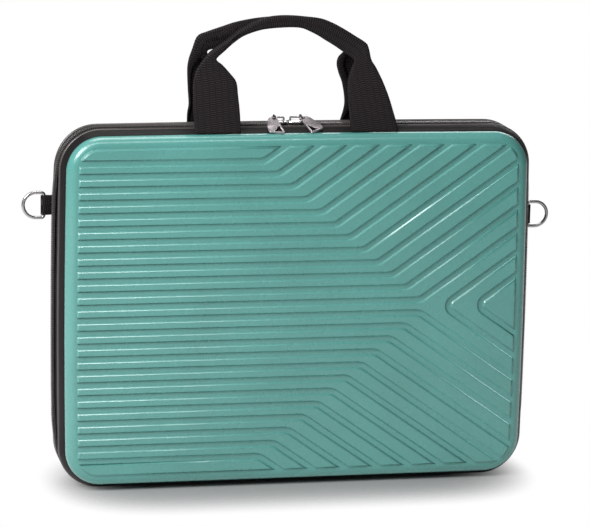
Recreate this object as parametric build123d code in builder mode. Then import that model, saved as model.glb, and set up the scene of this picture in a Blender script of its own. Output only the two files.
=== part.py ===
"""A zipped laptop hard case: two ribbed moulded shells on soft frames, hinged along the bottom edge.

Millimetres. +X is to the viewer's right, the front shell faces -Y, +Z is up. The origin is under the case's
centre, on the surface that it stands on, and the zip runs in the plane Y = 0. "Depth" below is the distance
from that plane towards the shell, and "reach" is the distance outward from the shell's rim.
"""

import os
from math import cos, radians, sin, tan

from build123d import *

os.makedirs("parts", exist_ok=True)

# ---------------------------------------------------------------- driving dimensions
# Shell rim, seen from the front
shell_width = 409.0
shell_height = 307.5
rim_radius = 31.0
side_bow = 1.6
top_bow = 1.0

# Depths from the zip plane
shell_depth = 33.1
rim_depth = 24.0
skirt_depth = 14.0
band_back_depth = 6.5

# Moulded shell
wall = 1.6
shoulder_radius = 8.8
rib_height = 1.9
rib_draft = 1.8
rib_margin = 9.6
rib_corner_radius = 18.0
groove_pitch = 11.4
groove_width = 3.8
groove_count = 12
groove_angle = 35.17
first_bend = 107.8
bend_step = 12.87
bend_radius = 14.0
tip_radius = 7.0
chevron_tips = (128.7, 157.8)

# Soft frame round each shell
fit_gap = 0.1
frame_wall = 1.6
band_reach = 4.1
band_land = 0.6
slope_bulge = 0.3
band_ledge = 2.1
piping_radius = 1.5
piping_depth = 14.2
piping_reach = 3.6

# Zip
tape_thickness = 0.7
tape_inner_depth = 1.0
tape_outer_depth = 12.6
coil_inner_depth = 0.7
coil_width = 3.8
coil_height = 2.1
stop_length = 4.0
stop_gap = 1.9

# Hinge strip along the bottom edge
hinge_gap = 0.1
hinge_width = 12.4
hinge_height = 3.0
hinge_length = 288.0

# Padding and lining
foam_thickness = 2.8
lining_thickness = 0.8
foam_gap = 0.2
lining_rim_depth = 7.0

# Document pocket in the front half
pocket_depth = 14.0
pocket_thickness = 1.0
pocket_top = 10.0
binding_width = 10.0
binding_wall = 0.9
binding_gap = 0.05

# Retaining strap in the rear half
strap_width = 38.0
strap_thickness = 1.2
strap_depth = 8.0
strap_level = -10.0
strap_overlap = 36.0
closure_thickness = 0.6
closure_margin = 2.0

# Zip sliders
slider_length = 15.5
slider_wide = 12.4
slider_narrow = 11.6
slider_plate = 1.6
slider_bevel = 0.5
nose_bevel = (3.0, 2.0)
tail_bevel = (2.0, 3.0)
slider_waist = 12.0
slider_gap = 0.3
slider_neck = 1.0
slider_neck_length = 4.0
slider_flange = 0.9
slider_flange_length = 7.8
bridge_length = 12.0
bridge_rise = 4.1
bridge_bar = 1.6
bridge_corner = 1.8
slider_centres = {"left": -15.5, "right": 0.8}

# Pullers, each on a wire link round its slider's bridge
link_wire = 1.3
link_length = 5.4
link_radius = 1.9
link_offset = {"left": -3.6, "right": 3.6}
puller_thickness = 1.5
puller_corner = 1.0
puller_edge = [
    (-1.6, -1.0), (5.2, -1.0), (7.4, 1.6), (12.0, 11.0), (13.6, 17.0), (13.4, 19.6), (4.5, 23.6), (1.2, 24.6),
]
puller_hole = [(1.7, 13.2), (8.8, 19.6), (2.6, 21.9)]
puller_slot = [(-1.2, 0.7), (3.0, 0.7), (3.0, 3.1), (-1.2, 3.1)]
puller_slope = 24.0
puller_swing = {"left": -14.0, "right": 8.0}

# Carrying handles of folded webbing; the creases are measured from the handle's centre and the rim's top
webbing = 39.0
webbing_thickness = 1.8
handle_spacing = 135.6
handle_centre = -4.0
handle_rise = 97.0
handle_foot = 1.3
grip_thickness = 6.0
grip_height = 11.5
grip_gap = 0.4
grip_start = 66.0
knee_drop = 8.0
knee_out = 1.8
inner_drop = 2.0
right_crease = [(73.0, 73.0), (44.0, 68.0)]
left_crease = [(-72.0, 65.0), (-66.0, 60.0)]
right_lean = 26.0
right_pinch = [(-2.8, 40.0), (5.8, 57.0)]
left_lean = 40.0
left_fold = (-84.0, 50.0)
left_pinch = (3.0, 42.0)

# How far a cutting shape runs past what it cuts
trim = 2.0

# Strap rings on the rear half
ring_wire = 3.0
ring_height = 22.0
ring_arm = 7.0
ring_corner = 2.4
ring_bar_reach = 13.5
ring_depth = 17.2
ring_levels = {"left": 87.0, "right": 71.0}
tab_width = 17.0
tab_ply = 1.3
tab_root = 2.4
tab_gap = 0.3
ring_clearance = 0.05

# ---------------------------------------------------------------- sizes worked out from them
coil_reach = band_ledge + fit_gap + tape_thickness + fit_gap
strip_reach = band_ledge + fit_gap + hinge_height
zip_end = hinge_length / 2 + stop_gap + stop_length + fit_gap
half_width = shell_width / 2
half_height = shell_height / 2
case_centre = half_height + strip_reach
rim_top = case_centre + half_height
coil_top = rim_top + coil_reach + coil_height
SIDES = {"left": -1, "right": 1}


def front(depth):
    """Sketch plane that faces the viewer, centred on the case, at a depth in front of the zip."""
    return Plane(origin=(0, -depth, case_centre), x_dir=(1, 0, 0), z_dir=(0, -1, 0))


def across(x):
    """Sketch plane square to X whose own x is the depth and whose y is height."""
    return Plane(origin=(x, 0, 0), x_dir=(0, -1, 0), z_dir=(-1, 0, 0))


def save(piece, name):
    """Label a finished piece and write it."""
    piece.part.label = name
    export_step(piece.part, f"parts/{name}.step")


def side_x(level):
    """X of the bowed right-hand rim at a height from the case's centre."""
    return half_width - side_bow * (level / half_height) ** 2


def outline(reach, radius=rim_radius):
    """Case outline grown by reach: a flat bottom, gently bowed sides and top, rounded corners."""
    x, z = half_width + reach, half_height + reach
    low_left, low_right = (-x + side_bow, -z), (x - side_bow, -z)
    top_right, top_left = (x - side_bow, z - top_bow), (-x + side_bow, z - top_bow)
    with BuildSketch() as face:
        with BuildLine():
            Line(low_left, low_right)
            ThreePointArc(low_right, (x, 0), top_right)
            ThreePointArc(top_right, (0, z), top_left)
            ThreePointArc(top_left, (-x, 0), low_left)
        make_face()
        fillet(face.vertices(), radius + reach)
    return face.sketch


def groove_runs():
    """Every groove as its bend, its two far ends, its turn in degrees and its bend radius."""
    slope = tan(radians(groove_angle))
    past = shell_width
    runs = []
    for i in range(groove_count):
        bend = first_bend - i * bend_step
        level = (i + 0.5) * groove_pitch
        rise = level + (past - bend) * slope
        runs.append(((bend, level), (past, rise), (-past, level), groove_angle, bend_radius))
        runs.append(((bend, -level), (-past, -level), (past, -rise), groove_angle, bend_radius))
    for tip in chevron_tips:
        rise = (past - tip) * slope
        runs.append(((tip, 0), (past, rise), (past, -rise), 180 - 2 * groove_angle, tip_radius))
    return runs


def groove_strip(corner, far_start, far_end, turn, radius, width):
    """Flat strip of a width along one groove: two straight runs joined by a round bend."""
    half = width / 2
    across_start = Vector(far_start[1] - corner[1], corner[0] - far_start[0]).normalized()
    across_end = Vector(corner[1] - far_end[1], far_end[0] - corner[0]).normalized()
    bisector = (across_start + across_end).normalized() * (half / cos(radians(turn / 2)))
    start, middle, end = Vector(*far_start), Vector(*corner), Vector(*far_end)
    with BuildSketch() as strip:
        with BuildLine():
            upper = FilletPolyline(
                start + across_start * half, middle + bisector, end + across_end * half, radius=radius + half
            )
            lower = FilletPolyline(
                start - across_start * half, middle - bisector, end - across_end * half, radius=radius - half
            )
            Line(upper @ 0, lower @ 0)
            Line(upper @ 1, lower @ 1)
        make_face()
    return strip.sketch


def groove_cut(corner, far_start, far_end, radius):
    """Cutter for one groove: a flat floor between two drafted sides, run round the bend."""
    half = groove_width / 2
    spread = rib_draft * (rib_height + trim) / rib_height
    with BuildPart() as cutter:
        with BuildLine(front(shell_depth)) as run:
            FilletPolyline(far_start, corner, far_end, radius=radius)
        with BuildSketch(Plane(origin=run.line @ 0, x_dir=(0, -1, 0), z_dir=run.line % 0)):
            with BuildLine():
                Polyline(
                    (0, -half),
                    (0, half),
                    (rib_height + trim, half + spread),
                    (rib_height + trim, -half - spread),
                    close=True,
                )
            make_face()
        sweep(path=run.line)
    return cutter.part


def rim_path():
    """Wire along the rim in the zip plane, that the soft frame's sections follow."""
    with BuildSketch(front(0)) as rim:
        add(outline(0))
    return rim.sketch.face().outer_wire()


path = rim_path()
section = Plane(origin=path @ 0, x_dir=(0, -1, 0), z_dir=path % 0)


def mirrored(piece):
    """The rear half's copy of a front piece, mirrored in the zip plane."""
    with BuildPart() as copy:
        add(piece.part)
        mirror(about=Plane.XZ, mode=Mode.REPLACE)
    return copy


def turned(piece, centre_x=0.0):
    """The rear half's copy of a front piece, turned half round about a vertical line."""
    with BuildPart() as copy:
        add(piece.part.rotate(Axis((centre_x, 0, 0), (0, 0, 1)), 180))
    return copy


def save_pair(piece, name):
    """Write a front piece and its mirrored rear copy."""
    save(piece, f"front_{name}")
    save(mirrored(piece), f"rear_{name}")


# ---------------------------------------------------------------- moulded shells
rib_corner = rib_corner_radius + rib_margin

with BuildPart() as ribs:
    with BuildSketch(front(shell_depth)):
        add(outline(-rib_margin, rib_corner))
    extrude(amount=rib_height)
    chamfer(ribs.faces().sort_by(Axis.Y)[0].edges(), rib_draft)
    for corner, far_start, far_end, turn, radius in groove_runs():
        add(groove_cut(corner, far_start, far_end, radius), mode=Mode.SUBTRACT)

with BuildPart() as front_shell:
    with BuildSketch(front(skirt_depth)):
        add(outline(0))
    extrude(amount=shell_depth - skirt_depth)
    fillet(front_shell.faces().sort_by(Axis.Y)[0].edges(), shoulder_radius)
    offset(amount=-wall, openings=front_shell.faces().sort_by(Axis.Y)[-1])
    add(ribs.part)
    with BuildSketch(front(shell_depth - wall)):
        add(outline(-rib_margin - wall, rib_corner))
        for corner, far_start, far_end, turn, radius in groove_runs():
            add(
                groove_strip(corner, far_start, far_end, turn, radius, groove_width + 2 * wall),
                mode=Mode.SUBTRACT,
            )
    extrude(amount=rib_height, mode=Mode.SUBTRACT)

save(front_shell, "front_shell")
save(turned(front_shell), "rear_shell")

# ---------------------------------------------------------------- soft frames
with BuildPart() as frame:
    with BuildSketch(front(band_back_depth)):
        add(outline(0))
        add(outline(-frame_wall), mode=Mode.SUBTRACT)
    extrude(amount=skirt_depth - fit_gap - band_back_depth)

save_pair(frame, "frame")

with BuildPart() as band:
    notch_front = piping_depth + piping_radius + fit_gap
    with BuildSketch(section):
        with BuildLine():
            slope = ThreePointArc(
                (rim_depth, fit_gap),
                ((rim_depth + notch_front) / 2, band_reach / 2 + slope_bulge),
                (notch_front + band_land, band_reach),
            )
            Polyline(
                slope @ 1,
                (notch_front, band_reach),
                (notch_front, band_ledge),
                (band_back_depth, band_ledge),
                (band_back_depth, fit_gap),
                slope @ 0,
            )
        make_face()
    sweep(path=path)

save_pair(band, "band")

with BuildPart() as piping:
    with BuildSketch(section):
        with Locations((piping_depth, piping_reach)):
            Circle(piping_radius)
    sweep(path=path)

save_pair(piping, "piping")

# ---------------------------------------------------------------- zip


def zip_run(inner_depth, outer_depth, low_reach, high_reach):
    """Ring of rectangular section round the case, open along the hinge at the bottom."""
    with BuildPart() as run:
        with BuildSketch(front(inner_depth)):
            add(outline(high_reach))
            add(outline(low_reach), mode=Mode.SUBTRACT)
            with Locations((0, -half_height)):
                Rectangle(2 * zip_end, 4 * strip_reach, mode=Mode.SUBTRACT)
        extrude(amount=outer_depth - inner_depth)
    return run


tape_low = band_ledge + fit_gap
zip_tape = zip_run(tape_inner_depth, tape_outer_depth, tape_low, tape_low + tape_thickness)
save_pair(zip_tape, "zip_tape")

coil_outer_depth = coil_inner_depth + coil_width
zip_coil = zip_run(coil_inner_depth, coil_outer_depth, coil_reach, coil_reach + coil_height)
save_pair(zip_coil, "zip_coil")

with BuildPart() as zip_stops:
    with BuildSketch(front(coil_inner_depth)):
        with Locations(
            (-zip_end + stop_length / 2 + fit_gap, -half_height - coil_reach),
            (zip_end - stop_length / 2 - fit_gap, -half_height - coil_reach),
        ):
            Rectangle(stop_length, coil_height, align=(Align.CENTER, Align.MAX))
    extrude(amount=coil_width)

save_pair(zip_stops, "zip_stops")

# ---------------------------------------------------------------- hinge strip
with BuildPart() as hinge_strip:
    with BuildSketch(front(hinge_gap)):
        with Locations((0, -half_height - tape_low)):
            Rectangle(hinge_length, hinge_height, align=(Align.CENTER, Align.MAX))
    extrude(amount=hinge_width)

save_pair(hinge_strip, "hinge_strip")

# ---------------------------------------------------------------- padding and lining


def tray(outer_reach, thickness, floor_depth, edge_radius, rim):
    """Moulded soft tray that follows the shell's inside, open towards the zip."""
    with BuildPart() as soft:
        with BuildSketch(front(rim)):
            add(outline(outer_reach))
        extrude(amount=floor_depth - rim)
        fillet(soft.faces().sort_by(Axis.Y)[0].edges(), edge_radius)
        offset(amount=-thickness, openings=soft.faces().sort_by(Axis.Y)[-1])
    return soft


foam_reach = -wall - foam_gap
foam_floor = shell_depth - wall - foam_gap
save_pair(tray(foam_reach, foam_thickness, foam_floor, shoulder_radius - wall, lining_rim_depth), "foam")

lining_reach = foam_reach - foam_thickness - fit_gap
lining_floor = foam_floor - foam_thickness - fit_gap
lining_radius = shoulder_radius - wall - foam_thickness
save_pair(tray(lining_reach, lining_thickness, lining_floor, lining_radius, lining_rim_depth), "lining")

inside_reach = lining_reach - lining_thickness - foam_gap

# ---------------------------------------------------------------- document pocket
binding_low = pocket_top - binding_width / 2

with BuildPart() as document_pocket:
    with BuildSketch(front(pocket_depth)):
        add(outline(inside_reach))
        with Locations((0, pocket_top)):
            Rectangle(shell_width, shell_height, align=(Align.CENTER, Align.MIN), mode=Mode.SUBTRACT)
    extrude(amount=pocket_thickness)

save(document_pocket, "document_pocket")

with BuildPart() as pocket_binding:
    binding_half = pocket_thickness / 2 + binding_gap + binding_wall
    with BuildSketch(front(pocket_depth + pocket_thickness / 2 - binding_half)):
        with Locations((0, binding_low)):
            Rectangle(
                2 * (side_x(pocket_top) + inside_reach), binding_width, align=(Align.CENTER, Align.MIN)
            )
    extrude(amount=2 * binding_half)
    with BuildSketch(front(pocket_depth - binding_gap)):
        with Locations((0, binding_low)):
            Rectangle(
                shell_width,
                pocket_top - binding_low + binding_gap,
                align=(Align.CENTER, Align.MIN),
            )
    extrude(amount=pocket_thickness + 2 * binding_gap, mode=Mode.SUBTRACT)

save(pocket_binding, "pocket_binding")

# ---------------------------------------------------------------- laptop strap in the rear half


def strap(side, inner_depth):
    """Half of the retaining strap, from the lining's side wall past the middle."""
    start = SIDES[side] * (side_x(strap_level) + inside_reach)
    end = -SIDES[side] * strap_overlap / 2
    with BuildPart() as half:
        with BuildSketch(front(-inner_depth)):
            with Locations(((start + end) / 2, strap_level)):
                Rectangle(abs(start - end), strap_width)
        extrude(amount=strap_thickness)
    return half


outer_strap_depth = strap_depth - closure_thickness - strap_thickness
save(strap("left", strap_depth + strap_thickness), "laptop_strap_left")
save(strap("right", outer_strap_depth + strap_thickness), "laptop_strap_right")

with BuildPart() as strap_closure:
    with BuildSketch(front(-strap_depth)):
        with Locations((0, strap_level)):
            Rectangle(strap_overlap - 2 * closure_margin, strap_width - 2 * closure_margin)
    extrude(amount=closure_thickness)

save(strap_closure, "strap_closure")

# ---------------------------------------------------------------- zip sliders
plate_low = coil_top + slider_gap
plate_top = plate_low + slider_plate
base_top = rim_top + tape_low - slider_gap
bar_level = plate_top + bridge_rise - bridge_bar / 2


def slider(side):
    """Zip slider: top and bottom plates on a neck, a flange over the front coil and a bridge."""
    x, way = slider_centres[side], SIDES[side]
    nose, tail = x - way * slider_length / 2, x + way * slider_length / 2
    plate = [
        (nose, slider_wide / 2 - nose_bevel[1]),
        (nose + way * nose_bevel[0], slider_wide / 2),
        (nose + way * slider_waist, slider_narrow / 2),
        (tail - way * tail_bevel[0], slider_narrow / 2),
        (tail, slider_narrow / 2 - tail_bevel[1]),
    ]
    ring = plate + [(px, -depth) for px, depth in reversed(plate)]
    flange_depth = coil_outer_depth + slider_gap
    with BuildPart() as body:
        with BuildSketch(Plane.XY.offset(plate_low)) as top:
            with BuildLine():
                Polyline(*ring, close=True)
            make_face()
        extrude(amount=slider_plate)
        chamfer(body.faces().sort_by(Axis.Z)[-1].edges(), slider_bevel)
        with BuildSketch(Plane.XY.offset(base_top - slider_plate)):
            add(top.sketch)
        extrude(amount=slider_plate)
        with BuildSketch(Plane.XY.offset(base_top)):
            with Locations((nose + way * slider_neck_length / 2, 0)):
                Rectangle(slider_neck_length, slider_neck)
        extrude(amount=plate_low - base_top)
        with BuildSketch(Plane.XY.offset(plate_low - coil_height)):
            with Locations((x, -flange_depth)):
                Rectangle(slider_flange_length, slider_flange, align=(Align.CENTER, Align.MAX))
        extrude(amount=coil_height)
        with BuildSketch(Plane.XZ.offset(-bridge_bar / 2)) as arch:
            with Locations((x, plate_top)):
                Rectangle(bridge_length, bridge_rise, align=(Align.CENTER, Align.MIN))
            fillet(arch.vertices().group_by(Axis.Y)[-1], bridge_corner)
            with Locations((x, plate_top)):
                Rectangle(
                    bridge_length - 2 * bridge_bar,
                    bridge_rise - bridge_bar,
                    align=(Align.CENTER, Align.MIN),
                    mode=Mode.SUBTRACT,
                )
        extrude(amount=bridge_bar)
    return body


def pull_link(side):
    """Oval wire link round the slider's bridge and the puller's cross bar."""
    x = slider_centres[side] + link_offset[side]
    middle = Plane(
        origin=(x, -link_length / 2, bar_level), x_dir=(0, -1, 0), z_dir=(-1, 0, 0)
    )
    with BuildPart() as link:
        with BuildSketch(middle) as loop:
            SlotCenterToCenter(link_length, 2 * link_radius)
        rail = loop.sketch.face().outer_wire()
        start = Plane(origin=rail @ 0, x_dir=(1, 0, 0), z_dir=rail % 0)
        with BuildSketch(start) as wire:
            Circle(link_wire / 2)
        sweep(sections=wire.sketch, path=rail, mode=Mode.REPLACE)
    return link


def puller(side):
    """Flat flared puller with a slot for its link and a three-cornered hole, lying over the piping."""
    x, way = slider_centres[side] + link_offset[side], SIDES[side]
    dip, swing = radians(puller_slope), radians(puller_swing[side])
    lie = Plane(origin=(x, -link_length, bar_level), x_dir=(1, 0, 0), z_dir=(0, -sin(dip), cos(dip)))

    def swung(points):
        """Points u outward and v down the puller, turned by its swing."""
        return [(way * (u * cos(swing) + v * sin(swing)), u * sin(swing) - v * cos(swing)) for u, v in points]

    with BuildPart() as pull:
        with BuildSketch(lie.offset(-puller_thickness / 2)) as plate:
            with BuildLine():
                Polyline(*swung(puller_edge), close=True)
            make_face()
            fillet(plate.vertices(), puller_corner)
            for opening in (puller_hole, puller_slot):
                with BuildLine():
                    Polyline(*swung(opening), close=True)
                make_face(mode=Mode.SUBTRACT)
        extrude(amount=puller_thickness)
    return pull


for name in SIDES:
    save(slider(name), f"slider_{name}")
    save(pull_link(name), f"pull_link_{name}")
    save(puller(name), f"puller_{name}")

# ---------------------------------------------------------------- carrying handles
leg_outer = (handle_spacing + webbing) / 2
leg_inner = (handle_spacing - webbing) / 2
grip_low = handle_rise - grip_height
foot_level = rim_top + handle_foot
foot_depth = rim_depth + handle_foot

grip_face = grip_gap + grip_thickness
knee_face = grip_face + knee_out
grip_bottom = rim_top + grip_start
grip_roof = rim_top + handle_rise + trim

with BuildPart() as handle_front:
    with BuildSketch(across(handle_centre)):
        with BuildLine():
            Polyline(
                (foot_depth + webbing_thickness / 2, foot_level),
                (knee_face, grip_bottom - knee_drop),
                (grip_face, grip_bottom),
                (grip_face, grip_roof),
                (grip_gap, grip_roof),
                (grip_gap, grip_bottom - inner_drop),
                (knee_face - webbing_thickness, grip_bottom - inner_drop - knee_drop),
                (foot_depth - webbing_thickness / 2, foot_level),
                close=True,
            )
        make_face()
        with Locations((foot_depth, foot_level)):
            Circle(webbing_thickness / 2)
    extrude(amount=leg_outer + trim, both=True)
    with BuildSketch(Plane(origin=(handle_centre, 0, rim_top), x_dir=(1, 0, 0), z_dir=(0, -1, 0))):
        with BuildLine():
            TangentArc((0, handle_rise), right_crease[0], tangent=(1, 0))
            TangentArc((0, handle_rise), left_crease[0], tangent=(-1, 0))
            TangentArc((0, grip_low), left_crease[1], tangent=(-1, 0))
            TangentArc((0, grip_low), right_crease[1], tangent=(1, 0))
            Polyline(
                right_crease[0],
                (leg_outer - trim, right_lean),
                (leg_outer, 0),
                (leg_inner, 0),
                *[(leg_inner + inward, height) for inward, height in right_pinch],
                right_crease[1],
            )
            Polyline(
                left_crease[0],
                left_fold,
                (-leg_outer, left_lean),
                (-leg_outer, 0),
                (-leg_inner, 0),
                (-leg_inner - left_pinch[0], left_pinch[1]),
                left_crease[1],
            )
        make_face()
    extrude(amount=foot_depth + trim * 2, mode=Mode.INTERSECT)

save(handle_front, "handle_front")
save(turned(handle_front, handle_centre), "handle_rear")

# ---------------------------------------------------------------- strap rings and their tabs
for name, way in SIDES.items():
    level = case_centre + ring_levels[name]
    rim_x = side_x(ring_levels[name])
    bar_x = rim_x + ring_bar_reach
    arm_x = bar_x + ring_arm
    half_ring = ring_height / 2
    ring_plane = Plane(origin=(0, ring_depth, level), x_dir=(way, 0, 0), z_dir=(0, -way, 0))

    with BuildPart() as d_ring:
        with BuildSketch(ring_plane) as d_shape:
            with BuildLine():
                Polyline((arm_x, half_ring), (bar_x, half_ring), (bar_x, -half_ring), (arm_x, -half_ring))
                ThreePointArc((arm_x, -half_ring), (arm_x + half_ring, 0), (arm_x, half_ring))
            make_face()
            fillet(d_shape.vertices().sort_by(Axis.X)[:2], ring_corner)
        d_rail = d_shape.sketch.face().outer_wire()
        with BuildSketch(Plane(origin=d_rail @ 0, z_dir=d_rail % 0)) as d_wire:
            Circle(ring_wire / 2)
        sweep(sections=d_wire.sketch, path=d_rail, mode=Mode.REPLACE)
    save(d_ring, f"d_ring_{name}")

    with BuildPart() as ring_tab:
        with BuildSketch(Plane.XY.offset(level - tab_width / 2)) as profile:
            with Locations((way * bar_x, ring_depth)):
                Circle(ring_wire / 2 + ring_clearance + tab_ply)
            with Locations((way * (rim_x + band_reach + tab_gap + tab_root / 2), ring_depth)):
                Rectangle(tab_root, tab_root)
            make_hull()
            with Locations((way * bar_x, ring_depth)):
                Circle(ring_wire / 2 + ring_clearance, mode=Mode.SUBTRACT)
        extrude(amount=tab_width)
    save(ring_tab, f"ring_tab_{name}")
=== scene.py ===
"""A ribbed hard laptop case: teal moulded shells in black soft frames, with a zip, webbing handles and rings.

Metres, in the part's own frame: +X to the viewer's right, the front shell faces -Y, +Z up, the zip in Y = 0.
"""

import logging
import math
from contextlib import contextmanager
from dataclasses import dataclass, field
from enum import Enum
from typing import Callable, Iterator, Optional, Sequence, Union

import bpy
from mathutils import Matrix, Vector

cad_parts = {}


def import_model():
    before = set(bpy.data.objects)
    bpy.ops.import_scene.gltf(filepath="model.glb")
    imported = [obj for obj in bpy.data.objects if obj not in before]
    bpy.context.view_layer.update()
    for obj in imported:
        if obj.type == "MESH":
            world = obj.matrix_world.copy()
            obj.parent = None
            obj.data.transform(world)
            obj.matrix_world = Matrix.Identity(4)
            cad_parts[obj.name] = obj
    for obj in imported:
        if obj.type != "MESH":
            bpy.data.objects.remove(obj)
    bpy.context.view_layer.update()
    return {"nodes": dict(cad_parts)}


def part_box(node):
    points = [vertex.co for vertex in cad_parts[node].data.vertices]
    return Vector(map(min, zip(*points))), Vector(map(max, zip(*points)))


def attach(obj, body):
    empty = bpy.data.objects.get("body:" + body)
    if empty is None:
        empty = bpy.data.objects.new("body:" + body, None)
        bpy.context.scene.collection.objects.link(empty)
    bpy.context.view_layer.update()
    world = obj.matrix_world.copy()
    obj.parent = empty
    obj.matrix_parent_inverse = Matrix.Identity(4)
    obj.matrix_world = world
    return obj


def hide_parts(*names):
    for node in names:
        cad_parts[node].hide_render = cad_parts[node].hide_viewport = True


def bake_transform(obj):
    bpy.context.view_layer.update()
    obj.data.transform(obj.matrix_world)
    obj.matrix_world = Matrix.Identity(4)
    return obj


log = logging.getLogger("laptop_case")
MM = 0.001
WORKED_FACE = "face"
Colour = tuple[float, float, float]
Point = tuple[float, float, float]


class Named(Enum):
    """A choice whose name, in small letters, is a word in the names of its nodes."""

    @property
    def word(self) -> str:
        """The name in small letters."""
        return self.name.lower()


class Half(Named):
    """The two halves of the case, each with the direction in Y in which its depth grows."""

    FRONT = -1
    REAR = 1

    @property
    def body(self) -> str:
        """The body that the half's pieces ride on."""
        return f"{self.word}_half"


class Side(Named):
    """Left and right as the viewer sees them, with their sign in X."""

    LEFT = -1
    RIGHT = 1


@dataclass(frozen=True)
class CaseSizes:
    """The sizes that the dressing shares with the solids, in metres."""

    half_width: float = 0.2045
    half_height: float = 0.15375
    rim_radius: float = 0.031
    side_bow: float = 0.0016
    bow_at_corner: float = 0.65
    top_bow: float = 0.001
    centre: float = 0.15895
    rim_top: float = 0.3127
    plateau_depth: float = 0.0331
    tape_reach: float = 0.0029
    coil_reach: float = 0.003
    coil_height: float = 0.0021
    coil_inner_depth: float = -0.0005
    coil_outer_depth: float = 0.0045
    zip_end: float = 0.150
    webbing_width: float = 0.0405


SIZES = CaseSizes()


# ---------------------------------------------------------------- shader expressions


def operator(operation: str, reflected: bool = False) -> Callable[["Value", "Operand"], "Value"]:
    """The method that stands behind one Python operator.

    Args:
        operation: The Math node's operation.
        reflected: Whether the value is on the operator's right.

    Returns:
        A method that adds the Math node.
    """
    def method(value: "Value", other: "Operand") -> "Value":
        """Add the Math node on both operands."""
        operands = (other, value) if reflected else (value, other)
        return value.compute(operation, *operands)

    return method


class Value:
    """A node's output whose Python operators add the Math nodes that they stand for."""

    __add__, __radd__ = operator("ADD"), operator("ADD", reflected=True)
    __sub__, __rsub__ = operator("SUBTRACT"), operator("SUBTRACT", reflected=True)
    __mul__, __rmul__ = operator("MULTIPLY"), operator("MULTIPLY", reflected=True)
    __truediv__, __rtruediv__ = operator("DIVIDE"), operator("DIVIDE", reflected=True)

    def __init__(self, shader: "Shader", socket: bpy.types.NodeSocket) -> None:
        """Wrap an output socket of a shader's tree."""
        self.shader = shader
        self.socket = socket

    def compute(self, operation: str, *operands: "Operand") -> "Value":
        """Add one Math node on these operands."""
        return self.shader.node("ShaderNodeMath", {"operation": operation}, dict(enumerate(operands)))

    def __abs__(self) -> "Value":
        """Size without its sign."""
        return self.compute("ABSOLUTE", self)

    def sine(self) -> "Value":
        """Sine of the value in radians."""
        return self.compute("SINE", self)

    def fraction(self) -> "Value":
        """Part after the decimal point."""
        return self.compute("FRACT", self)

    def power(self, exponent: float) -> "Value":
        """Value raised to an exponent."""
        return self.compute("POWER", self, exponent)

    def ramp(self, low: float, high: float, to_low: float = 0.0, to_high: float = 1.0) -> "Value":
        """Map low..high onto to_low..to_high, clamped and eased at both ends.

        Args:
            low: Value that gives to_low.
            high: Value that gives to_high.
            to_low: Result at the low end.
            to_high: Result at the high end.

        Returns:
            The mapped value.
        """
        keys = {"Value": self, "From Min": low, "From Max": high, "To Min": to_low, "To Max": to_high}
        return self.shader.node("ShaderNodeMapRange", {"interpolation_type": "SMOOTHSTEP"}, keys)


Operand = Union[Value, float]
SocketValue = Union[Value, float, tuple]


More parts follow.
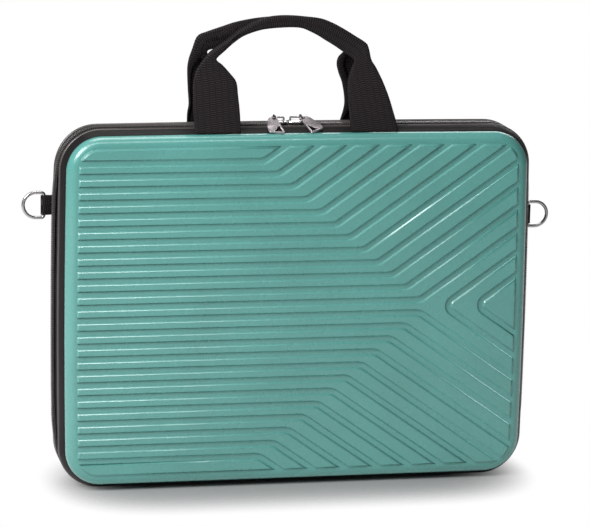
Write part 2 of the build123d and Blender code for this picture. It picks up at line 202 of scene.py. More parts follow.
class Shader:
    """The node tree of a material or a world, with one method that adds any node."""

    def __init__(self, owner: Union[bpy.types.Material, bpy.types.World]) -> None:
        """Start the owner's tree afresh."""
        owner.use_nodes = True
        self.owner = owner
        self.tree = owner.node_tree
        self.tree.nodes.clear()

    @classmethod
    def for_material(cls, name: str) -> "Shader":
        """The shader of a new material of this name."""
        return cls(bpy.data.materials.new(name))

    def node(
        self,
        kind: str,
        settings: dict[str, object],
        inputs: dict[Union[int, str], SocketValue],
        output: Union[int, str] = 0,
    ) -> Value:
        """Add a node.

        Args:
            kind: Blender's name of the node type.
            settings: The node's own properties, set first.
            inputs: Values or links by socket name or number.
            output: The output that the result wraps.

        Returns:
            The wrapped output.
        """
        made = self.tree.nodes.new(kind)
        for key, setting in settings.items():
            setattr(made, key, setting)
        for key, value in inputs.items():
            if isinstance(value, Value):
                self.tree.links.new(value.socket, made.inputs[key])
            else:
                made.inputs[key].default_value = value
        return Value(self, made.outputs[output])

    def close(self, kind: str, surface: Value) -> None:
        """Link the surface to an output node of this kind."""
        out = self.tree.nodes.new(kind)
        self.tree.links.new(surface.socket, out.inputs["Surface"])

    def mix(self, factor: Operand, first: Union[Colour, Value], second: Union[Colour, Value]) -> Value:
        """Blend two colours.

        Args:
            factor: 0 for the first colour, 1 for the second.
            first: Colour or link.
            second: Colour or link.

        Returns:
            The blended colour.
        """
        ends = [end if isinstance(end, Value) else (*end, 1.0) for end in (first, second)]
        sockets = {0: factor, 6: ends[0], 7: ends[1]}
        return self.node("ShaderNodeMix", {"data_type": "RGBA"}, sockets, output=2)

    def tones(self, factor: Operand, colour: Colour, dark: float, light: float) -> Value:
        """A colour that goes from darker to lighter.

        Args:
            factor: 0 for the dark end, 1 for the light one.
            colour: The colour.
            dark: What it is multiplied by at the dark end.
            light: What it is multiplied by at the light end.

        Returns:
            The blended colour.
        """
        return self.mix(factor, shade(colour, dark), shade(colour, light))

    def spot(self, output: str = "Object") -> Value:
        """Object coordinates, or with the output Normal the direction in which each face looks."""
        return self.node("ShaderNodeTexCoord", {}, {}, output)

    def turned(self, degrees: float) -> Value:
        """Object coordinates turned about Z."""
        keys = {"Vector": self.spot(), "Rotation": (0, 0, math.radians(degrees))}
        return self.node("ShaderNodeMapping", {}, keys)

    def strip(self) -> tuple[Value, Value]:
        """The piece's own UV map, in metres across and along the cloth."""
        return self.split(self.node("ShaderNodeUVMap", {"uv_map": "cloth"}, {}))[:2]

    def split(self, vector: Value) -> tuple[Value, Value, Value]:
        """The three components of a vector."""
        parts = self.node("ShaderNodeSeparateXYZ", {}, {0: vector})
        return tuple(Value(self, output) for output in parts.socket.node.outputs)

    def noise(self, cells: float, octaves: float = 2.0) -> Value:
        """Noise on Object coordinates, from 0 to 1.

        Args:
            cells: Cells per metre.
            octaves: How many finer layers it has.

        Returns:
            The noise.
        """
        keys = {"Vector": self.spot(), "Scale": cells, "Detail": octaves}
        return self.node("ShaderNodeTexNoise", {}, keys)

    def waves(self, distance: Value, pitch: float) -> Value:
        """Sine that passes through 0 once in every pitch."""
        return (distance * (math.pi / pitch)).sine()

    def weave(self, pitch: float) -> Value:
        """Plain weave in the two axes that lie in each face, from 0 to 1.

        Args:
            pitch: Thread spacing in metres.

        Returns:
            The weave's height.
        """
        waves = [self.waves(axis, pitch) for axis in self.split(self.spot())]
        height: Operand = 0.0
        for i, facing in enumerate(self.split(self.spot("Normal"))):
            height = waves[i - 1] * waves[i - 2] * (facing * facing) + height
        return height * 0.5 + 0.5

    def principled(
        self, height: Value, distance: float, inputs: dict[str, SocketValue]
    ) -> bpy.types.Material:
        """Close the material with a Principled BSDF.

        Args:
            height: Height for the bump, from 0 to 1.
            distance: Height of 1, in metres.
            inputs: The shader's other inputs by name.

        Returns:
            The finished material.
        """
        bump = self.node("ShaderNodeBump", {}, {"Height": height, "Distance": distance})
        surface = self.node("ShaderNodeBsdfPrincipled", {}, {**inputs, "Normal": bump})
        self.close("ShaderNodeOutputMaterial", surface)
        return self.owner


def shade(colour: Colour, factor: float) -> Colour:
    """A colour made lighter or darker by a factor."""
    return tuple(min(1.0, c * factor) for c in colour)


# ---------------------------------------------------------------- finishes


@dataclass(frozen=True)
class MouldedPlastic:
    """Moulded plastic with a faint unevenness of colour and gloss and a fine skin."""

    name: str
    colour: Colour
    roughness: float
    coat: float = 0.0
    coat_roughness: float = 0.11
    skin: float = 0.00002

    def build(self) -> bpy.types.Material:
        """Make the material."""
        shader = Shader.for_material(self.name)
        cloud = shader.noise(cells=14.0, octaves=3.0).ramp(0.3, 0.7)
        rubbed = shader.noise(cells=60.0, octaves=4.0).ramp(0.45, 0.75, 0.0, 0.07)
        return shader.principled(shader.noise(cells=900.0), self.skin, {
            "Base Color": shader.tones(cloud, self.colour, 0.95, 1.05),
            "Roughness": rubbed + self.roughness,
            "Coat Weight": self.coat,
            "Coat Roughness": self.coat_roughness,
        })


@dataclass(frozen=True)
class CoatedCloth:
    """Cloth with a smooth coating: a fine weave under it and a soft sheen."""

    name: str
    colour: Colour
    roughness: float = 0.5
    pitch: float = 0.0007
    depth: float = 0.00006
    sheen: float = 0.02
    reflection: float = 0.15

    def build(self) -> bpy.types.Material:
        """Make the material."""
        shader = Shader.for_material(self.name)
        threads = shader.weave(self.pitch)
        wear = shader.noise(cells=35.0, octaves=4.0)
        return shader.principled(threads + wear * 0.6, self.depth, {
            # The colour is painted shade of the weave, darker between the threads and lighter on them, mixed
            # with random wear.
            "Base Color": shader.tones(threads * 0.5 + wear * 0.5, self.colour, 0.7, 1.35),
            "Roughness": wear.ramp(0.2, 0.8, self.roughness - 0.06, self.roughness + 0.08),
            "Specular IOR Level": self.reflection,
            "Sheen Weight": self.sheen,
            "Sheen Roughness": 0.45,
        })


@dataclass(frozen=True)
class RibbedWebbing:
    """Flat webbing: cross ribs in staggered blocks, with a plain edge along both sides. Its colour carries
    painted shade: lighter on the ribs, darker in their hollows.
    """

    name: str
    colour: Colour
    width: float = SIZES.webbing_width
    rib: float = 0.0019
    block: float = 0.0056
    edge: float = 0.0012
    thread: float = 0.0006
    depth: float = 0.00035

    def build(self) -> bpy.types.Material:
        """Make the material."""
        shader = Shader.for_material(self.name)
        height = self.height(shader)
        fuzz = shader.noise(cells=700.0, octaves=3.0)
        # Painted shade: the colour follows the relief, lighter on the ribs and darker in the hollows, plus a
        # random fuzz of tone.
        painted_rib_shade_and_fuzz = (height - 0.35) * 1.1 + (fuzz - 0.5) * 0.6
        return shader.principled(height, self.depth, {
            "Base Color": shader.tones(painted_rib_shade_and_fuzz, self.colour, 0.15, 3.2),
            "Roughness": fuzz.ramp(0.2, 0.8, 0.6, 0.8),
            "Specular IOR Level": 0.15,
            "Sheen Weight": 0.01,
            "Sheen Roughness": 0.4,
        })

    def height(self, shader: Shader) -> Value:
        """The webbing's relief: cross ribs that every second block sets off by half a rib.

        Args:
            shader: The shader to add the nodes to.

        Returns:
            The height, from 0 to about 1.
        """
        across, along = shader.strip()
        column = across / self.block
        shifted = along / self.rib + (column / 2).fraction().ramp(0.49, 0.51) * 0.5
        rib = abs(shader.waves(shifted, 1.0))
        seam = abs(column.fraction() - 0.5).ramp(0.42, 0.5)
        inside = (self.width / 2 - abs(across)).ramp(self.edge * 0.6, self.edge)
        threads = abs(shader.waves(across, self.thread))
        return (rib * (1 - seam * 0.5) + threads * 0.2) * inside + (1 - inside) * 0.55


@dataclass(frozen=True)
class PlatedMetal:
    """Plated metal with faint wear in its gloss."""

    name: str
    colour: Colour = (0.78, 0.77, 0.78)
    roughness: float = 0.2

    def build(self) -> bpy.types.Material:
        """Make the material."""
        shader = Shader.for_material(self.name)
        wear = shader.noise(cells=400.0, octaves=4.0)
        return shader.principled(shader.noise(cells=1500.0), 0.00001, {
            "Base Color": shader.tones(wear.ramp(0.3, 0.7), self.colour, 0.88, 1.0),
            "Metallic": 1.0,
            "Roughness": wear.ramp(0.25, 0.8, self.roughness, self.roughness + 0.16),
        })


@dataclass(frozen=True)
class KnurledMetal:
    """Satin metal whose flat face carries a fine crossed knurl inside a plain rim. The knurl's hollows are
    painted darker, as painted shade.
    """

    name: str
    colour: Colour = (0.54, 0.49, 0.51)
    pitch: float = 0.00075
    turn: float = 38.0
    depth: float = 0.00008

    def build(self) -> bpy.types.Material:
        """Make the material."""
        shader = Shader.for_material(self.name)
        x, y, _ = shader.split(shader.turned(self.turn))
        knurl = abs(shader.waves(x, self.pitch)) * abs(shader.waves(y, self.pitch))
        face = shader.node("ShaderNodeAttribute", {"attribute_name": WORKED_FACE}, {}, output="Fac")
        grime = shader.noise(cells=500.0, octaves=3.0)
        # The face's colour is painted shade of the knurl, darker in its hollows and lighter on its crests,
        # mixed with random grime.
        painted_knurl_shade_and_grime = shader.tones(knurl.ramp(0.1, 0.6) * 0.75 + grime * 0.25, self.colour, 0.4, 0.85)
        return shader.principled(knurl * face, self.depth, {
            "Base Color": shader.mix(face, shade(self.colour, 1.25), painted_knurl_shade_and_grime),
            "Metallic": 1.0,
            "Roughness": grime * 0.1 + face * 0.26 + 0.28,
        })


@dataclass(frozen=True)
class SoftFill:
    """Closed-cell foam: dark, dull and finely pitted."""

    name: str
    colour: Colour = (0.06, 0.06, 0.065)
    cells: float = 700.0
    depth: float = 0.0002

    def build(self) -> bpy.types.Material:
        """Make the material."""
        shader = Shader.for_material(self.name)
        pits = shader.node("ShaderNodeTexVoronoi", {}, {"Vector": shader.spot(), "Scale": self.cells})
        return shader.principled(pits, self.depth, {
            # The colour is painted shade, darker in the pits.
            "Base Color": shader.tones(pits.ramp(0.1, 0.5), self.colour, 0.5, 1.0),
            "Roughness": pits * 0.1 + 0.85,
        })


@dataclass(frozen=True)
class Thread:
    """Sewing thread with a twist."""

    name: str
    colour: Colour = (0.03, 0.03, 0.03)
    twist: float = 0.0004
    depth: float = 0.00005

    def build(self) -> bpy.types.Material:
        """Make the material."""
        shader = Shader.for_material(self.name)
        x, y, z = shader.split(shader.spot())
        strands = abs(shader.waves(x + y + z, self.twist))
        return shader.principled(strands, self.depth, {
            # The colour is painted shade and highlight of the twist: lighter on the strands' crests and
            # darker between them.
            "Base Color": shader.tones(strands, self.colour, 0.6, 1.6),
            "Roughness": strands * 0.1 + 0.55,
        })


class Finishes:
    """Every finish of the case, made once and asked for by name."""

    def __init__(self) -> None:
        """Build the materials."""
        black: Colour = (0.009, 0.008, 0.008)
        lining: Colour = (0.10, 0.105, 0.115)
        recipes = [
            MouldedPlastic("teal_shell", (0.082, 0.276, 0.248), 0.27, coat=0.4),
            MouldedPlastic("black_frame", (0.02, 0.02, 0.02), 0.5),
            CoatedCloth("band_cloth", black, roughness=0.45, reflection=0.1),
            CoatedCloth("piping_cloth", (0.055, 0.048, 0.046), roughness=0.3, depth=0.00003, reflection=0.5),
            CoatedCloth("tape_cloth", black, roughness=0.65, pitch=0.0009, depth=0.00015, reflection=0.1),
            MouldedPlastic("nylon_tooth", (0.075, 0.07, 0.068), 0.22),
            PlatedMetal("plated_zip", roughness=0.16),
            PlatedMetal("plated_ring", (0.42, 0.41, 0.41), roughness=0.2),
            PlatedMetal("dark_wire", (0.07, 0.066, 0.062), roughness=0.3),
            KnurledMetal("knurled_puller"),
            RibbedWebbing("handle_webbing", (0.0075, 0.0058, 0.0061)),
            CoatedCloth("lining_cloth", lining, roughness=0.8, pitch=0.0008, depth=0.0002, sheen=0.4),
            CoatedCloth("strap_cloth", (0.035, 0.035, 0.037), roughness=0.7, pitch=0.0012, depth=0.0003),
            SoftFill("padding_foam"),
            Thread("thread"),
        ]
        self.made = {recipe.name: recipe.build() for recipe in recipes}

    def dress(self, piece: bpy.types.Object, name: str) -> None:
        """Give a piece one finish all over."""
        piece.data.materials.clear()
        piece.data.materials.append(self.made[name])


# ---------------------------------------------------------------- the workbench


def deselect_all() -> None:
    """Leave object mode with nothing selected."""
    if bpy.context.object is not None and bpy.context.object.mode != "OBJECT":
        bpy.ops.object.mode_set(mode="OBJECT")
    bpy.ops.object.select_all(action="DESELECT")


def make_active(piece: bpy.types.Object) -> None:
    """Select one object alone and make it active.

    Args:
        piece: The object.
    """
    deselect_all()
    piece.select_set(True)
    bpy.context.view_layer.objects.active = piece


@contextmanager
def editing(piece: bpy.types.Object, select: str = "DESELECT") -> Iterator[None]:
    """Edit mode on the faces of one piece.

    Args:
        piece: The mesh object.
        select: SELECT to start with every face selected, DESELECT with none.
    """
    make_active(piece)
    bpy.ops.object.mode_set(mode="EDIT")
    bpy.ops.mesh.select_mode(type="FACE")
    bpy.ops.mesh.select_all(action=select)
    yield
    bpy.ops.object.mode_set(mode="OBJECT")


def pick_faces(piece: bpy.types.Object, wanted: Callable[[bpy.types.MeshPolygon], bool]) -> int:
    """Select the faces of a piece in edit mode that pass a test.

    Args:
        piece: The piece in edit mode.
        wanted: Test of one face.

    Returns:
        How many are selected.
    """
    bpy.ops.object.mode_set(mode="OBJECT")
    chosen = [face for face in piece.data.polygons if wanted(face)]
    for face in chosen:
        face.select = True
    bpy.ops.object.mode_set(mode="EDIT")
    return len(chosen)


def apply_modifier(piece: bpy.types.Object, kind: str, **settings: object) -> None:
    """Add a modifier to a piece and apply it.

    Args:
        piece: The mesh object.
        kind: Blender's name of the modifier type.
        **settings: The modifier's properties.
    """
    make_active(piece)
    bpy.ops.object.modifier_add(type=kind)
    modifier = piece.modifiers[-1]
    for key, value in settings.items():
        setattr(modifier, key, value)
    bpy.ops.object.modifier_apply(modifier=modifier.name)


def smooth(piece: bpy.types.Object, degrees: float = 40.0) -> None:
    """Shade a piece smooth, with edges sharper than the angle kept."""
    make_active(piece)
    bpy.ops.object.shade_smooth_by_angle(angle=math.radians(degrees))


def settle(piece: bpy.types.Object) -> None:
    """Put a piece's place, turn and scale into its mesh."""
    make_active(piece)
    bpy.ops.object.transform_apply(location=True, rotation=True, scale=True)


def copy_of(
    nodes: dict[str, bpy.types.Object], node: str, name: str, join_flat: bool = True
) -> bpy.types.Object:
    """A merged copy of a CAD node as a new piece that replaces it.

    Args:
        nodes: The CAD nodes.
        node: The node to copy.
        name: The new piece's name.
        join_flat: Whether the triangles of a flat face become one face.

    Returns:
        The copy, with its doubles merged.
    """
    deselect_all()
    piece = nodes[node].copy()
    piece.data = nodes[node].data.copy()
    piece.name = name
    piece.parent = None
    for key in list(piece.keys()):
        del piece[key]
    bpy.context.scene.collection.objects.link(piece)
    piece.hide_render = piece.hide_viewport = False
    with editing(piece, "SELECT"):
        bpy.ops.mesh.remove_doubles(threshold=0.002 * MM)
        if join_flat:
            bpy.ops.mesh.dissolve_limited(angle_limit=math.radians(0.5), use_dissolve_boundaries=False)
    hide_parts(node)
    return piece


@dataclass(frozen=True)
class Rounding:
    """A rounding of the sharp edges: its width in metres, the faces across it and which edges are sharp."""

    width: float
    segments: int = 2
    degrees: float = 35.0

    def cut(self, piece: bpy.types.Object) -> None:
        """Round every edge of a piece that bends by more than the angle."""
        apply_modifier(
            piece, "BEVEL", width=self.width, segments=self.segments, limit_method="ANGLE",
            angle_limit=math.radians(self.degrees),
        )


def rise(value: float, start: float, span: float) -> float:
    """Smooth step from 0 to 1.

    Args:
        value: Where it is asked for.
        start: Where it leaves 0.
        span: How much further on it reaches 1.

    Returns:
        The step's height.
    """
    t = max(0.0, min(1.0, (value - start) / span))
    return t * t * (3 - 2 * t)


def length_of(line: Sequence[Sequence[float]]) -> float:
    """Length of a line by the first three numbers of its points."""
    return sum(math.dist(p[:3], q[:3]) for p, q in zip(line, line[1:]))


def evenly(line: Sequence[Sequence[float]], count: int) -> list[list[float]]:
    """Points at even steps along a line, by its length in their first three numbers.

    Args:
        line: Points of any number of coordinates.
        count: How many points the result has.

    Returns:
        The points.
    """
    runs = [0.0]
    for p, q in zip(line, line[1:]):
        runs.append(runs[-1] + math.dist(p[:3], q[:3]))
    samples, i = [], 0
    for step in range(count):
        want = runs[-1] * step / (count - 1)
        while i < len(runs) - 2 and runs[i + 1] < want:
            i += 1
        t = (want - runs[i]) / max(runs[i + 1] - runs[i], 1e-9)
        samples.append([p + (q - p) * t for p, q in zip(line[i], line[i + 1])])
    return samples


def part_way(a: float, b: float, c: float, d: float, t: float) -> float:
    """Value part of the way between two of four, on the smooth line through all of them.

    Args:
        a: The value before the stretch.
        b: The value at its start.
        c: The value at its end.
        d: The value after it.
        t: How far along the stretch, from 0 to 1.

    Returns:
        The value there.
    """
    bend = (2 * a - 5 * b + 4 * c - d) * t ** 2
    twist = (3 * b - a - 3 * c + d) * t ** 3
    return (2 * b + (c - a) * t + bend + twist) / 2


def through(points: Sequence[Sequence[float]], count: int, between: int = 24) -> list[list[float]]:
    """Smooth line through points, sampled evenly.

    Args:
        points: The points, of any number of coordinates.
        count: Samples along the line.
        between: Steps from one point to the next before the line is sampled.

    Returns:
        The samples.
    """
    padded = [points[0], *points, points[-1]]
    dense: list[list[float]] = []
    for four in zip(padded, padded[1:], padded[2:], padded[3:]):
        for step in range(between):
            dense.append([part_way(*values, step / between) for values in zip(*four)])
    return evenly([*dense, points[-1]], count)


def grid_piece(name: str, columns: int, rows: int) -> bpy.types.Object:
    """A flat grid whose vertices run row by row, ready to be shaped.

    Args:
        name: The piece's name.
        columns: Vertices in a row.
        rows: Rows of vertices.

    Returns:
        The grid.
    """
    deselect_all()
    bpy.ops.mesh.primitive_grid_add(x_subdivisions=columns - 1, y_subdivisions=rows - 1, size=1)
    piece = bpy.context.object
    piece.name = name
    return piece


def block(name: str, place: Point, size: Point) -> bpy.types.Object:
    """A block, ready to be shaped.

    Args:
        name: The piece's name.
        place: The block's middle.
        size: Its three sizes.

    Returns:
        The block.
    """
    deselect_all()
    bpy.ops.mesh.primitive_cube_add(size=1, location=place)
    piece = bpy.context.object
    piece.name = name
    piece.scale = size
    settle(piece)
    return piece


def drawn_line(name: str, points: Sequence[Sequence[float]], dimensions: str) -> bpy.types.Object:
    """A curve object that runs straight from point to point.

    Args:
        name: The object's name.
        points: The line's points.
        dimensions: 2D or 3D.

    Returns:
        The curve object.
    """
    deselect_all()
    bpy.ops.curve.primitive_bezier_curve_add()
    drawn = bpy.context.object
    drawn.name = name
    drawn.data.dimensions = dimensions
    drawn.data.splines.clear()
    spline = drawn.data.splines.new("POLY")
    spline.points.add(len(points) - 1)
    for point, spot in zip(spline.points, points):
        point.co = (*spot, 1)
    return drawn


def rim_line(
    reach: float, step: float, straight_steps: int = 40, corner_steps: int = 24
) -> list[list[float]]:
    """Points up the left side, over the top and down the right side of the case, from zip end to zip end.

    Args:
        reach: Distance outward from the shell's rim.
        step: Spacing of the points in metres.
        straight_steps: Steps that draw each bowed stretch.
        corner_steps: Steps that draw each corner.

    Returns:
        Points with X, height from the case's centre and 0.
    """
    s = SIZES
    radius = s.rim_radius + reach
    wide, high = s.half_width + reach, s.half_height + reach
    corner_x = wide - s.side_bow * s.bow_at_corner - radius
    top_z = high - s.top_bow * (corner_x / s.half_width) ** 2 - radius
    bottom_z = radius - high
    parts = [i / straight_steps for i in range(straight_steps + 1)]
    quarter = [math.pi / 2 * i / corner_steps for i in range(1, corner_steps)]
    top = [(x, high - s.top_bow * (x / s.half_width) ** 2) for x in (corner_x * part for part in parts)]
    levels = [top_z * (1 - part) + bottom_z * part for part in parts]
    side = [(wide - s.side_bow * (z / s.half_height) ** 2, z) for z in levels]
    top_corner = [(corner_x + radius * math.sin(t), top_z + radius * math.cos(t)) for t in quarter]
    low_corner = [(corner_x + radius * math.cos(t), bottom_z - radius * math.sin(t)) for t in quarter]
    right = [*top, *top_corner, *side, *low_corner, (s.zip_end, -high)]
    line = [(-x, z, 0.0) for x, z in reversed(right)] + [(x, z, 0.0) for x, z in right[1:]]
    return evenly(line, max(2, round(length_of(line) / step)) + 1)


# ---------------------------------------------------------------- sub-assemblies


@dataclass
class SubAssembly:
    """What every sub-assembly works with, and the two steps that its pieces share."""

    nodes: dict[str, bpy.types.Object]
    finishes: Finishes

    def copied(
        self,
        node: str,
        name: str,
        rounding: Optional[Rounding] = None,
        shading: float = 40.0,
        swollen: bool = False,
    ) -> bpy.types.Object:
        """A copy of a CAD node that replaces it, rounded and shaded smooth.

        Args:
            node: The node to copy.
            name: The new piece's name.
            rounding: The rounding of its sharp edges, if they have one.
            shading: Edges sharper than this stay sharp in the shading, in degrees.
            swollen: Whether the piece swells with the cloth between the shells.

        Returns:
            The copy.
        """
        piece = copy_of(self.nodes, node, name)
        if rounding is not None:
            rounding.cut(piece)
        if swollen:
            SWELLING.swell(piece)
        smooth(piece, shading)
        return piece

    def finish(self, piece: bpy.types.Object, finish: str, body: str, slot: str) -> None:
        """Dress a finished piece, put it on its body and report it.

        Args:
            piece: The piece.
            finish: Name of its finish.
            body: The body that it rides on.
            slot: Its material slot; not used.
        """
        self.finishes.dress(piece, finish)
        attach(piece, body)
        log.info("%s with %d faces", piece.name, len(piece.data.polygons))


@dataclass
class MouldedShells(SubAssembly):
    """The two ribbed shells, with the rib edges rolled over as they are moulded."""

    roll: float = 0.0006
    slope: tuple[float, float] = (0.5, 0.9)
    level: float = 0.9995
    slack: float = 0.0001

    def build(self) -> None:
        """Roll the ribs of both shells and give them their gloss."""
        for half in Half:
            word = half.word
            shell = copy_of(self.nodes, f"{word}_shell", f"{word}_shell_moulding", join_flat=False)
            self.roll_ribs(shell, half)
            smooth(shell, 55.0)
            self.flatten_normals(shell, half)
            self.finish(shell, "teal_shell", half.body, "shell")
            self.finishes.dress(self.nodes[f"{word}_frame"], "black_frame")

    def roll_ribs(self, shell: bpy.types.Object, half: Half) -> None:
        """Cut a narrow strip along both edges of every rib's slope, for the rolled edge.

        Args:
            shell: The merged copy of the shell.
            half: The half that it belongs to.
        """
        def on_slope(face: bpy.types.MeshPolygon) -> bool:
            """Whether a face is part of a rib's drafted side."""
            low, high = self.slope
            return abs(face.center.y) > SIZES.plateau_depth and low < face.normal.y * half.value < high

        with editing(shell):
            count = pick_faces(shell, on_slope)
            bpy.ops.mesh.tris_convert_to_quads(face_threshold=0.02, shape_threshold=3.1)
            bpy.ops.mesh.inset(thickness=self.roll, use_boundary=True, use_even_offset=False)
        log.info("%s: %d slope faces rolled", shell.name, count)

    def flatten_normals(self, shell: bpy.types.Object, half: Half) -> None:
        """Shade rib tops and groove floors flat up to their edges, so that only the strips turn.

        Args:
            shell: The copy with its strips.
            half: The half that it belongs to.
        """
        mesh = shell.data
        normals = [(0.0, 0.0, 0.0)] * len(mesh.vertices)
        for face in mesh.polygons:
            outside = abs(face.center.y) > SIZES.plateau_depth - self.slack
            if outside and face.normal.y * half.value > self.level:
                for index in face.vertices:
                    normals[index] = (0.0, float(half.value), 0.0)
        mesh.normals_split_custom_set_from_vertices(normals)


@dataclass(frozen=True)
class Swelling:
    """How the cloth between the shells swells outward at the left and right sides, between the corners.

    Each pair is where a smooth step starts and its span; the rear steps have their share before that.
    """

    reach: float = 0.0034
    sides: tuple[float, float] = (0.175, 0.025)
    corners: tuple[float, float] = (0.095, 0.045)
    front: tuple[float, float] = (-0.0135, 0.0075)
    rear: tuple[tuple[float, float, float], ...] = ((0.35, 0.004, 0.01), (0.65, 0.014, 0.01))

    def shift(self, x: float, y: float, z: float) -> float:
        """How far a point moves in X.

        Args:
            x: The point's place from the case's middle to the right.
            y: Its place from the zip's plane to the rear.
            z: Its height.

        Returns:
            The distance, negative to the left.
        """
        sideways = rise(abs(x), *self.sides)
        upright = 1 - rise(abs(z - SIZES.centre), *self.corners)
        behind = sum(share * rise(y, start, span) for share, start, span in self.rear)
        return math.copysign(self.reach * sideways * upright * rise(y, *self.front) * (1 - behind), x)

    def swell(self, piece: bpy.types.Object) -> None:
        """Move the points of a piece of a soft frame or of the zip."""
        for vertex in piece.data.vertices:
            vertex.co.x += self.shift(*vertex.co)


SWELLING = Swelling()


@dataclass
class SoftFrames(SubAssembly):
    """The cloth bands and the piping round each shell."""

    fold: Rounding = Rounding(0.0004, 2, 40.0)

    def build(self) -> None:
        """Soften both bands and dress the piping."""
        for half in Half:
            word = half.word
            band = self.copied(f"{word}_band", f"{word}_band_cloth", self.fold, shading=45.0, swollen=True)
            self.finish(band, "band_cloth", half.body, "band")
            piping = self.copied(f"{word}_piping", f"{word}_piping_cord", shading=60.0, swollen=True)
            self.finish(piping, "piping_cloth", half.body, "piping")


@dataclass
class Zip(SubAssembly):
    """Tapes and nylon teeth of both halves, their end stops and the running line of stitches."""

    tape_edge: Rounding = Rounding(0.0002, 1, 50.0)
    guide_step: float = 0.003
    pitch: float = 0.0016
    tooth_share: float = 0.46
    stagger: float = 0.25
    tooth_inset: float = 0.00018
    tooth_crown: float = 0.00004
    small_edge: Rounding = Rounding(0.00014, 1)
    stitch: float = 0.0032
    stitch_share: float = 0.72
    stitch_start: float = 0.38
    stitch_section: tuple[float, float] = (0.0003, 0.0005)
    stitch_height: float = 0.00012
    stitch_depth: float = 0.0098

    def build(self) -> None:
        """Model the teeth once for each half and run them round it."""
        for half in Half:
            word, body = half.word, half.body
            tape = self.copied(f"{word}_zip_tape", f"{word}_tape_cloth", self.tape_edge, swollen=True)
            self.finish(tape, "tape_cloth", body, "tape")
            teeth = self.run(self.tooth(f"{word}_teeth", half), self.pitch, SIZES.coil_reach, half)
            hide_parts(f"{word}_zip_coil")
            self.finish(teeth, "nylon_tooth", body, "coil")
            stitches = self.run(self.one_stitch(f"{word}_tape_stitches"), self.stitch, SIZES.tape_reach, half)
            self.finish(stitches, "thread", body, "tape")
            self.finishes.dress(self.nodes[f"{word}_zip_stops"], "plated_zip")

    def tooth(self, name: str, half: Half) -> bpy.types.Object:
        """One tooth, whose nose lies between two of the other half's past the zip line.

        Args:
            name: The piece's name.
            half: The half that the tooth is on.

        Returns:
            The tooth.
        """
        s = SIZES
        start = self.pitch * (0.5 + self.stagger * half.value)
        middle = (start, s.coil_height / 2, (s.coil_outer_depth + s.coil_inner_depth) / 2)
        size = (self.pitch * self.tooth_share, s.coil_height, s.coil_outer_depth - s.coil_inner_depth)
        piece = block(name, middle, size)
        with editing(piece):
            pick_faces(piece, lambda face: face.normal.y > 0.9)
            bpy.ops.mesh.inset(thickness=self.tooth_inset, depth=0.0)
            bpy.ops.transform.translate(value=(0, self.tooth_crown, 0))
        self.small_edge.cut(piece)
        return piece

    def one_stitch(self, name: str) -> bpy.types.Object:
        """One stitch of the line that holds the tape in the band.

        Args:
            name: The piece's name.

        Returns:
            The stitch.
        """
        middle = (self.stitch * self.stitch_start, self.stitch_height, self.stitch_depth)
        piece = block(name, middle, (self.stitch * self.stitch_share, *self.stitch_section))
        self.small_edge.cut(piece)
        return piece

    def run(self, shape: bpy.types.Object, pitch: float, reach: float, half: Half) -> bpy.types.Object:
        """Repeat a shape along the rim of one half.

        Args:
            shape: One copy, with X along the rim, Y outward and Z as its depth.
            pitch: Spacing of the copies.
            reach: The line's distance outward from the rim.
            half: The half that the run is on.

        Returns:
            The finished run in its place.
        """
        line = rim_line(reach, self.guide_step)
        guide = drawn_line(f"{shape.name}_guide", line, "2D")
        apply_modifier(
            shape, "ARRAY", fit_type="FIXED_COUNT", count=int(length_of(line) / pitch),
            use_relative_offset=False, use_constant_offset=True, constant_offset_displace=(pitch, 0, 0),
        )
        apply_modifier(shape, "CURVE", object=guide, deform_axis="POS_X")
        shape.data.transform(Matrix.Translation((0, 0, SIZES.centre)) @ Matrix.Rotation(math.pi / 2, 4, "X"))
        if half is Half.REAR:
            shape.data.transform(Matrix.Scale(-1, 4, (0, 1, 0)))
            with editing(shape, "SELECT"):
                bpy.ops.mesh.flip_normals()
        bpy.data.objects.remove(guide)
        SWELLING.swell(shape)
        return shape


